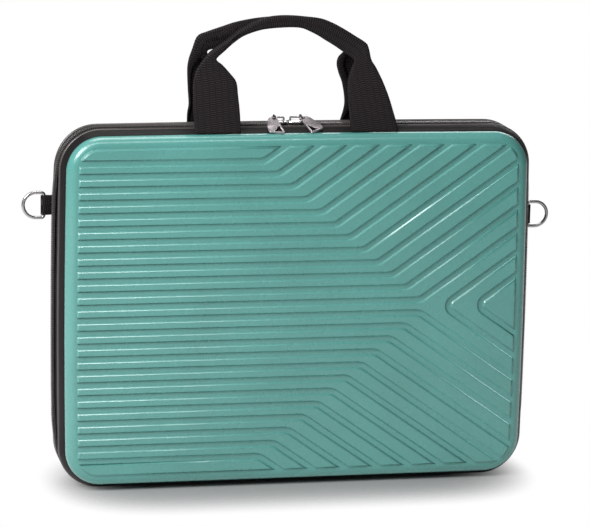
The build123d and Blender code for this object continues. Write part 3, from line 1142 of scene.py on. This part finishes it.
@dataclass
class ZipSliders(SubAssembly):
    """Two sliders, each with its wire link and a knurled puller."""

    slider_edge: Rounding = Rounding(0.0004)
    rim: float = 0.00055
    rim_bead: float = 0.0006
    hole_bead: float = 0.0004
    hole_growth: float = 1.45
    touching: float = 0.00002

    def build(self) -> None:
        """Round the sliders and raise the rim of each puller."""
        for side in Side:
            word = side.word
            body = self.copied(f"slider_{word}", f"slider_body_{word}", self.slider_edge)
            self.finish(body, "plated_zip", f"slider_{word}", "zip_metal")
            link = self.copied(f"pull_link_{word}", f"link_wire_{word}", shading=70.0)
            self.finish(link, "dark_wire", f"puller_{word}", "zip_metal")
            self.puller(word)

    def puller(self, word: str) -> None:
        """Lay a plain raised bead round a puller's edge and round its hole.

        Args:
            word: The side that the puller is on.
        """
        piece = copy_of(self.nodes, f"puller_{word}", f"puller_plate_{word}", join_flat=False)
        up = max(piece.data.polygons, key=lambda face: face.area * (face.normal.z > 0)).normal.copy()
        self.widen_hole(piece, outline_loops(piece, up)[1], up)
        half_thickness = self.plate_thickness(piece, up) / 2
        mark_face(piece, 1.0)
        beads = []
        insets, radii = (self.rim, -self.rim), (self.rim_bead, self.hole_bead)
        for loop, inset, radius in zip(outline_loops(piece, up), insets, radii):
            line = [spot - up * half_thickness for spot in inset_loop(loop, up, inset)]
            bead = bead_along(f"{piece.name}_bead", line, max(radius, half_thickness))
            mark_face(bead, 0.0)
            beads.append(bead)
        make_active(piece)
        for bead in beads:
            bead.select_set(True)
        bpy.ops.object.join()
        smooth(piece)
        self.finish(piece, "knurled_puller", f"puller_{word}", "puller")

    def widen_hole(self, piece: bpy.types.Object, hole: list[Vector], up: Vector) -> None:
        """Widen the hole of a puller to the opening of the photographed plate.

        Args:
            piece: The puller.
            hole: The hole's outline.
            up: Normal of the plate.
        """
        middle = sum(hole, Vector()) / len(hole)
        for vertex in piece.data.vertices:
            flat = vertex.co - up * (vertex.co - middle).dot(up)
            if min((flat - spot).length for spot in hole) < self.touching:
                vertex.co += (flat - middle) * (self.hole_growth - 1)

    def plate_thickness(self, piece: bpy.types.Object, up: Vector) -> float:
        """Thickness of a plate along its normal."""
        heights = [vertex.co.dot(up) for vertex in piece.data.vertices]
        return max(heights) - min(heights)


def mark_face(piece: bpy.types.Object, value: float) -> None:
    """Store on every face of a piece whether it is worked or plain.

    Args:
        piece: The mesh object.
        value: 1 for the worked face, 0 for plain metal.
    """
    marks = piece.data.attributes.new(WORKED_FACE, "FLOAT", "FACE")
    for mark in marks.data:
        mark.value = value


def outline_loops(piece: bpy.types.Object, up: Vector, facing: float = 0.98) -> list[list[Vector]]:
    """Closed outlines of the faces that look one way, the longest first.

    Args:
        piece: The mesh object.
        up: The direction.
        facing: Faces whose normal lies this far along the direction count.

    Returns:
        The loops of points.
    """
    uses: dict[tuple[int, int], int] = {}
    for face in piece.data.polygons:
        if face.normal.dot(up) > facing:
            for key in face.edge_keys:
                uses[key] = uses.get(key, 0) + 1
    beside: dict[int, list[int]] = {}
    for (a, b), count in uses.items():
        if count == 1:
            beside.setdefault(a, []).append(b)
            beside.setdefault(b, []).append(a)
    loops = []
    while beside:
        here = next(iter(beside))
        loop = []
        while here is not None:
            loop.append(piece.data.vertices[here].co.copy())
            here = next((v for v in beside.pop(here) if v in beside), None)
        loops.append(loop)
    return sorted(loops, key=length_of, reverse=True)


def inset_loop(loop: list[Vector], up: Vector, distance: float) -> list[Vector]:
    """A closed outline moved inward, or outward where the distance is negative.

    Args:
        loop: The outline's points.
        up: Normal of its plane.
        distance: How far inward.

    Returns:
        The moved points.
    """
    following = loop[1:] + loop[:1]
    way = math.copysign(distance, sum(a.cross(b).dot(up) for a, b in zip(loop, following)))
    return [
        here + up.cross((after - before).normalized()) * way
        for before, here, after in zip(loop[-1:] + loop[:-1], loop, following)
    ]


def bead_along(name: str, line: list[Vector], radius: float) -> bpy.types.Object:
    """A round bead along a closed line.

    Args:
        name: The piece's name.
        line: The line's points.
        radius: Radius of the bead.

    Returns:
        The bead as a mesh.
    """
    bead = drawn_line(name, line, "3D")
    bead.data.splines[0].use_cyclic_u = True
    bead.data.bevel_depth = radius
    bead.data.bevel_resolution = 2
    bpy.ops.object.convert(target="MESH")
    return bpy.context.object


# Each row has x, z and y of the outer fold and then of the inner one, in millimetres: x from the handle's
# centre, z from the rim's top and y from the zip's plane.
HANDLE_EDGES: dict[Half, list[tuple[float, ...]]] = {
    Half.FRONT: [
        (-88.0, 0.7, -25.3, -48.6, 0.7, -25.3),
        (-89.8, 19.2, -20.8, -48.8, 17.4, -20.4),
        (-89.3, 33.3, -17.2, -49.9, 32.2, -16.9),
        (-88.8, 43.7, -14.2, -51.0, 43.3, -14.0),
        (-86.0, 53.1, -11.9, -56.1, 50.4, -12.0),
        (-80.6, 61.0, -10.0, -62.3, 57.3, -10.4),
        (-74.5, 67.6, -8.9, -67.7, 62.3, -9.2),
        (-67.1, 73.1, -8.4, -60.9, 69.2, -8.6),
        (-57.6, 79.0, -8.0, -52.7, 76.6, -8.0),
        (-47.4, 87.1, -7.2, -44.9, 82.0, -7.4),
        (-36.2, 93.3, -6.8, -34.5, 85.5, -6.8),
        (-23.9, 98.0, -6.4, -23.4, 88.1, -6.4),
        (-11.6, 99.8, -6.4, -11.1, 89.3, -6.4),
        (4.5, 99.3, -6.4, 4.7, 89.2, -6.4),
        (23.1, 97.3, -6.4, 18.4, 83.7, -6.4),
        (34.4, 93.3, -6.4, 28.5, 77.7, -6.4),
        (44.4, 88.1, -6.4, 36.7, 72.8, -6.6),
        (54.5, 82.0, -6.6, 44.1, 67.8, -7.2),
        (64.4, 75.7, -7.6, 51.0, 63.4, -8.6),
        (66.6, 70.9, -8.6, 53.8, 60.3, -9.6),
        (68.8, 61.3, -10.6, 51.1, 54.2, -11.2),
        (73.0, 54.2, -12.2, 47.9, 45.9, -13.2),
        (79.0, 41.1, -15.6, 46.7, 36.5, -16.0),
        (84.4, 25.6, -19.4, 47.1, 22.3, -19.6),
        (91.0, 0.7, -25.3, 48.2, 0.7, -25.3),
    ],
    Half.REAR: [
        (-87.6, 0.7, 25.3, -48.2, 0.7, 25.3),
        (-87.8, 12.0, 22.4, -50.2, 10.9, 22.4),
        (-87.0, 20.3, 20.4, -51.0, 19.9, 20.4),
        (-88.5, 34.4, 17.0, -53.0, 32.8, 17.2),
        (-89.9, 51.6, 12.8, -58.7, 45.6, 14.2),
        (-89.1, 61.0, 10.8, -66.7, 55.8, 11.8),
        (-86.5, 69.7, 9.2, -72.0, 63.4, 10.0),
        (-82.2, 81.1, 7.8, -72.8, 68.2, 8.8),
        (-74.0, 85.0, 7.4, -66.3, 70.4, 8.2),
        (-61.8, 89.1, 7.2, -56.6, 75.6, 7.6),
        (-48.4, 93.4, 6.9, -45.1, 81.7, 7.0),
        (-30.0, 96.8, 6.5, -28.5, 85.8, 6.5),
        (-11.4, 98.1, 6.4, -11.3, 87.9, 6.4),
        (7.2, 97.8, 6.4, 7.4, 87.8, 6.4),
        (24.6, 95.2, 6.4, 22.4, 82.1, 6.4),
        (37.2, 90.5, 6.4, 32.5, 76.3, 6.4),
        (48.7, 84.0, 6.6, 40.2, 71.3, 6.6),
        (60.3, 76.3, 7.2, 46.8, 66.5, 7.6),
        (65.8, 68.6, 8.6, 42.7, 61.1, 9.2),
        (68.3, 59.7, 10.4, 42.0, 54.9, 11.0),
        (70.2, 50.8, 12.2, 44.3, 47.0, 12.8),
        (73.2, 36.7, 15.6, 48.5, 36.9, 15.8),
        (78.3, 19.9, 19.4, 51.5, 18.9, 19.6),
        (88.0, 0.7, 25.3, 48.6, 0.7, 25.3),
    ],
}


@dataclass
class WebbingHandles(SubAssembly):
    """Two handles of flat webbing whose edges fold in behind to make the grip."""

    centre_x: float = -0.004
    width: float = SIZES.webbing_width
    ply: float = 0.0014
    ply_edge: Rounding = Rounding(0.0003, 1, 68.75)
    fold_radius: float = 0.0020
    least_radius: float = 0.0001
    least_flap: float = 0.0002
    flap_share: float = 0.86
    end_step: float = 0.00002
    rows: int = 120
    face_columns: int = 11
    flap_columns: int = 7

    def build(self) -> None:
        """Lay the webbing of both handles."""
        for half in Half:
            columns = self.face_columns + 2 * self.flap_columns
            handle = grid_piece(f"handle_webbing_{half.word}", columns, self.rows)
            self.lay(handle, half)
            with editing(handle, "SELECT"):
                bpy.ops.mesh.normals_make_consistent(inside=False)
            apply_modifier(handle, "SOLIDIFY", thickness=self.ply, offset=0.0)
            self.ply_edge.cut(handle)
            smooth(handle, 60.0)
            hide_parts(f"handle_{half.word}")
            self.finish(handle, "handle_webbing", f"handle_{half.word}", "webbing")

    def lay(self, handle: bpy.types.Object, half: Half) -> None:
        """Shape the flat grid into the folded strip and map its cloth.

        Args:
            handle: The grid.
            half: The half that the handle is on.
        """
        mesh = handle.data
        corners = mesh.vertices
        order = sorted(range(len(corners)), key=lambda v: (round(corners[v].co.y, 5), corners[v].co.x))
        spots = [spot for row in self.strip_rows(half) for spot in row]
        where: dict[int, tuple[float, float]] = {}
        for index, (spot, across, along) in zip(order, spots):
            corners[index].co = spot
            where[index] = (across, along)
        cloth = mesh.uv_layers.new(name="cloth")
        for loop in mesh.loops:
            cloth.data[loop.index].uv = where[loop.vertex_index]

    def strip_rows(self, half: Half) -> list[list[tuple[Vector, float, float]]]:
        """The rows of the strip from one root of a handle over the grip to the other.

        Args:
            half: The half that the handle is on.

        Returns:
            The rows' points with their place on the cloth.
        """
        stations = []
        base = Vector((self.centre_x, 0, SIZES.rim_top))
        for outer_x, outer_z, outer_y, inner_x, inner_z, inner_y in through(HANDLE_EDGES[half], self.rows):
            outer = Vector((outer_x, outer_y, outer_z)) * MM
            inner = Vector((inner_x, inner_y, inner_z)) * MM
            hem = (outer - inner).normalized() * (self.ply / 2)
            stations.append((base + outer - hem, base + inner + hem))
        rows, run = [], 0.0
        for i, (outer, inner) in enumerate(stations):
            before, after = stations[max(i - 1, 0)], stations[min(i + 1, self.rows - 1)]
            along = (after[0] + after[1] - before[0] - before[1]).normalized()
            behind = (outer - inner).normalized().cross(along).normalized()
            behind *= -math.copysign(1.0, behind.y * half.value)
            rows.append(self.row(outer, inner, behind, run))
            run += (after[0] + after[1] - outer - inner).length / 2
        return rows

    def row(
        self, outer: Vector, inner: Vector, behind: Vector, run: float
    ) -> list[tuple[Vector, float, float]]:
        """One row of the strip: its face between two folds, with what is left of the width turned in behind.

        Args:
            outer: Crest of the outer fold.
            inner: Crest of the inner fold.
            behind: Direction away from the viewer, square to the cloth.
            run: Length along the strip.

        Returns:
            The row's points with their place on the cloth, from the inner flap to the outer one.
        """
        wide = (outer - inner).length
        across = (outer - inner) / wide
        spare = max(self.least_flap, (self.width - wide) / 2)
        radius = max(self.least_radius, self.fold_radius * math.sqrt(max(0.0, 1 - wide / self.width)))
        turned = min(math.pi, spare / radius)
        crest = radius * math.sin(min(turned, math.pi / 2))
        straight = min(max(0.0, spare - math.pi * radius), self.flap_share * wide)
        half_face = wide / 2 - crest
        middle = (outer + inner) / 2
        points: list[tuple[Vector, float, float]] = []
        for k in range(self.face_columns):
            u = half_face * (2 * k / (self.face_columns - 1) - 1)
            points.append((middle + across * u, u, run))
        for sign in (1, -1):
            flap: list[tuple[Vector, float, float]] = []
            for k in range(1, self.flap_columns + 1):
                past = self.flap_length(k, radius * turned, straight)
                angle = min(past / radius, turned)
                flat = max(0.0, past - radius * turned)
                out = radius * math.sin(angle) + flat * math.cos(turned)
                back = radius * (1 - math.cos(angle)) + flat * math.sin(turned)
                spot = middle + across * (sign * (half_face + out)) + behind * back
                flap.append((spot, sign * (half_face + past), run))
            points = points + flap if sign > 0 else flap[::-1] + points
        return points

    def flap_length(self, k: int, arc: float, straight: float) -> float:
        """Length along a flap up to one of its columns, all but two of which are on the bend.

        Args:
            k: Number of the column, from 1.
            arc: Length of the bend.
            straight: Length of what lies flat behind the face.

        Returns:
            The length.
        """
        on_bend = self.flap_columns - 2
        if k <= on_bend:
            return arc * k / on_bend
        return arc + (straight / 2 + self.end_step) * (k - on_bend)


@dataclass
class StrapRings(SubAssembly):
    """The plated D rings and the webbing tabs that carry them."""

    tab_edge: Rounding = Rounding(0.0004, 2, 45.0)

    def build(self) -> None:
        """Polish the rings and map the tabs' cloth."""
        for side in Side:
            word = side.word
            ring = self.copied(f"d_ring_{word}", f"strap_ring_{word}", shading=70.0)
            self.finish(ring, "plated_ring", f"d_ring_{word}", "ring")
            tab = self.copied(f"ring_tab_{word}", f"ring_tab_webbing_{word}", self.tab_edge)
            cloth = tab.data.uv_layers.new(name="cloth")
            low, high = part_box(f"ring_tab_{word}")
            middle = (low.z + high.z) / 2
            for loop in tab.data.loops:
                spot = tab.data.vertices[loop.vertex_index].co
                cloth.data[loop.index].uv = (spot.z - middle, spot.x + spot.y)
            self.finish(tab, "handle_webbing", Half.REAR.body, "band")


@dataclass
class HingeCloth(SubAssembly):
    """One strip of coated cloth between the halves along the bottom edge, with a crease down its middle."""

    half_length: float = 0.144
    half_width: float = 0.0124
    height: float = 0.0029
    columns: int = 41
    rows: int = 25
    crease_width: float = 0.0016
    crease_depth: float = 0.0008
    edge: Rounding = Rounding(0.0006, 2, 60.0)
    bend: float = 0.003

    def build(self) -> None:
        """Make the strip in place of both rigid ones."""
        strip = grid_piece("hinge_cloth", self.columns, self.rows)
        strip.scale = (2 * self.half_length, 2 * self.half_width, 1)
        strip.location = (0, 0, self.height)
        settle(strip)
        apply_modifier(strip, "SOLIDIFY", thickness=self.height, offset=-1.0)
        for vertex in strip.data.vertices:
            if vertex.co.z > self.height / 2:
                vertex.co.z -= self.crease_depth * math.exp(-((vertex.co.y / self.crease_width) ** 2))
        self.edge.cut(strip)
        smooth(strip)
        self.finishes.dress(strip, "tape_cloth")
        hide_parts("front_hinge_strip", "rear_hinge_strip")
        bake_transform(strip)
        log.info("%s with %d faces", strip.name, len(strip.data.polygons))


@dataclass
class Interior(SubAssembly):
    """Padding, linings, document pocket and laptop strap, seen when the case is open."""

    lining_edge: Rounding = Rounding(0.0002, 1, 50.0)
    strap_edge: Rounding = Rounding(0.00025, 2, 50.0)

    def build(self) -> None:
        """Dress every inner piece."""
        for half in Half:
            word = half.word
            self.finish(self.copied(f"{word}_foam", f"{word}_padding"), "padding_foam", half.body, "foam")
            lining = self.copied(f"{word}_lining", f"{word}_lining_cloth", self.lining_edge)
            self.finish(lining, "lining_cloth", half.body, "lining")
        for node, name, finish, half, slot in (
            ("document_pocket", "pocket_cloth", "lining_cloth", Half.FRONT, "lining"),
            ("pocket_binding", "pocket_edge", "strap_cloth", Half.FRONT, "strap"),
            ("laptop_strap_left", "strap_cloth_left", "strap_cloth", Half.REAR, "strap"),
            ("laptop_strap_right", "strap_cloth_right", "strap_cloth", Half.REAR, "strap"),
            ("strap_closure", "closure_cloth", "strap_cloth", Half.REAR, "closure"),
        ):
            self.finish(self.copied(node, name, self.strap_edge), finish, half.body, slot)


# ---------------------------------------------------------------- the studio


@dataclass(frozen=True)
class Lamp:
    """A rectangular soft lamp that looks at the case."""

    name: str
    place: Point
    size: tuple[float, float]
    watts: float

    def hang(self, target: Vector) -> None:
        """Add the lamp and aim it.

        Args:
            target: The point that it looks at.
        """
        bpy.ops.object.light_add(type="AREA", location=self.place)
        lamp = bpy.context.object
        lamp.name = self.name
        lamp.data.shape = "RECTANGLE"
        lamp.data.size, lamp.data.size_y = self.size
        lamp.data.energy = self.watts
        lamp.rotation_euler = (target - Vector(self.place)).to_track_quat("-Z", "Y").to_euler()


@dataclass
class Studio:
    """Floor, soft lamps and the camera at the photograph's viewing angle."""

    target: Point = (-0.0050, -0.035, 0.19995)
    distance: float = 2.603
    yaw: float = 11.78
    pitch: float = 11.49
    roll: float = 1.10
    lens: float = 183.1
    sensor: float = 36.0
    far: float = 60.0
    world_light: float = 0.14
    floor_size: float = 24.0
    floor_place: Point = (0.0, 4.0, -0.0002)
    floor_light: Colour = (0.8, 0.8, 0.8)
    # Grey of the painted shadow that the floor shows close to the case.
    shadow_floor: Colour = (0.31, 0.31, 0.31)
    shadow_half: tuple[float, float] = (0.225, 0.118)
    shadow_powers: tuple[float, float] = (6, 2)
    lamps: list[Lamp] = field(default_factory=lambda: [
        Lamp("key_lamp", (-1.15, -0.75, 1.15), (0.8, 0.8), 32.0),
        Lamp("strip_lamp", (-0.25, -1.0, 1.7), (1.5, 0.2), 9.0),
        Lamp("top_lamp", (-0.2, 0.55, 2.2), (1.0, 1.0), 18.0),
        Lamp("back_lamp", (0.9, 1.9, 1.3), (1.2, 1.2), 16.0),
    ])

    def build(self) -> None:
        """Set the floor, the light and the camera."""
        self.floor()
        self.world()
        for lamp in self.lamps:
            lamp.hang(Vector(self.target))
        self.camera()
        bpy.context.scene.view_settings.view_transform = "Standard"

    def floor(self) -> None:
        """A floor that is painted grey close to the case and clear further off: the grey fades outward as a
        painted shadow, and it also takes the lamps' real shadows.

        It is clear where shadow_half ends in X and Y, so that it doesn't hide the open front half, which
        hangs below its level. The larger a shadow power is, the later and faster the floor clears that way.
        """
        deselect_all()
        bpy.ops.mesh.primitive_plane_add(size=self.floor_size, location=self.floor_place)
        floor = bpy.context.object
        floor.name = "studio_floor"
        settle(floor)
        shader = Shader.for_material("white_floor")
        offsets = [
            (abs(way) / half).power(power)
            for way, half, power in zip(shader.split(shader.spot()), self.shadow_half, self.shadow_powers)
        ]
        clear = shader.node("ShaderNodeBsdfTransparent", {}, {})
        pale = shader.node("ShaderNodeBsdfDiffuse", {}, {"Color": (*self.floor_light, 1.0)})
        painted_shadow_grey = shader.node("ShaderNodeBsdfDiffuse", {}, {"Color": (*self.shadow_floor, 1.0)})
        camera_ray = shader.node("ShaderNodeLightPath", {}, {}, output="Is Camera Ray")
        shadow_ray = Value(shader, camera_ray.socket.node.outputs["Is Shadow Ray"])
        away = (offsets[0] + offsets[1]).ramp(0.05, 1.0)
        # Painted shadow: the floor is grey near the case and fades to clear further off, on top of the lamps'
        # real shadows.
        seen = shader.node("ShaderNodeMixShader", {}, {0: away, 1: painted_shadow_grey, 2: clear})
        unseen = shader.node("ShaderNodeMixShader", {}, {0: shadow_ray, 1: pale, 2: clear})
        both = shader.node("ShaderNodeMixShader", {}, {0: camera_ray, 1: unseen, 2: seen})
        shader.close("ShaderNodeOutputMaterial", both)
        floor.data.materials.append(shader.owner)

    def world(self) -> None:
        """A world that is white to the camera and dim as a light."""
        shader = Shader(bpy.data.worlds.new("studio_world"))
        camera_ray = shader.node("ShaderNodeLightPath", {}, {}, output="Is Camera Ray")
        soft, bright = (
            shader.node("ShaderNodeBackground", {}, {"Color": (1, 1, 1, 1), "Strength": strength})
            for strength in (self.world_light, 1.0)
        )
        sky = shader.node("ShaderNodeMixShader", {}, {0: camera_ray, 1: soft, 2: bright})
        shader.close("ShaderNodeOutputWorld", sky)
        bpy.context.scene.world = shader.owner

    def camera(self) -> None:
        """The camera of the photograph."""
        yaw, pitch, roll = (math.radians(angle) for angle in (self.yaw, self.pitch, self.roll))
        ahead = Vector((math.sin(yaw) * math.cos(pitch), math.cos(yaw) * math.cos(pitch), -math.sin(pitch)))
        bpy.ops.object.camera_add(location=Vector(self.target) - ahead * self.distance)
        camera = bpy.context.object
        camera.name = "photo_camera"
        camera.data.lens = self.lens
        camera.data.sensor_width = self.sensor
        camera.data.clip_end = self.far
        turned = ahead.to_track_quat("-Z", "Y").to_matrix() @ Matrix.Rotation(roll, 3, "Z")
        camera.rotation_euler = turned.to_euler()
        bpy.context.scene.camera = camera


def main() -> None:
    """Load the frame, build every sub-assembly and report each one."""
    logging.basicConfig(level=logging.INFO, format="%(message)s")
    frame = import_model()
    finishes = Finishes()
    for assembly in (
        MouldedShells, SoftFrames, Zip, ZipSliders, WebbingHandles, StrapRings, HingeCloth, Interior
    ):
        assembly(frame["nodes"], finishes).build()
        log.info("%s done", assembly.__name__)
    Studio().build()


if __name__ == "__main__":
    main()
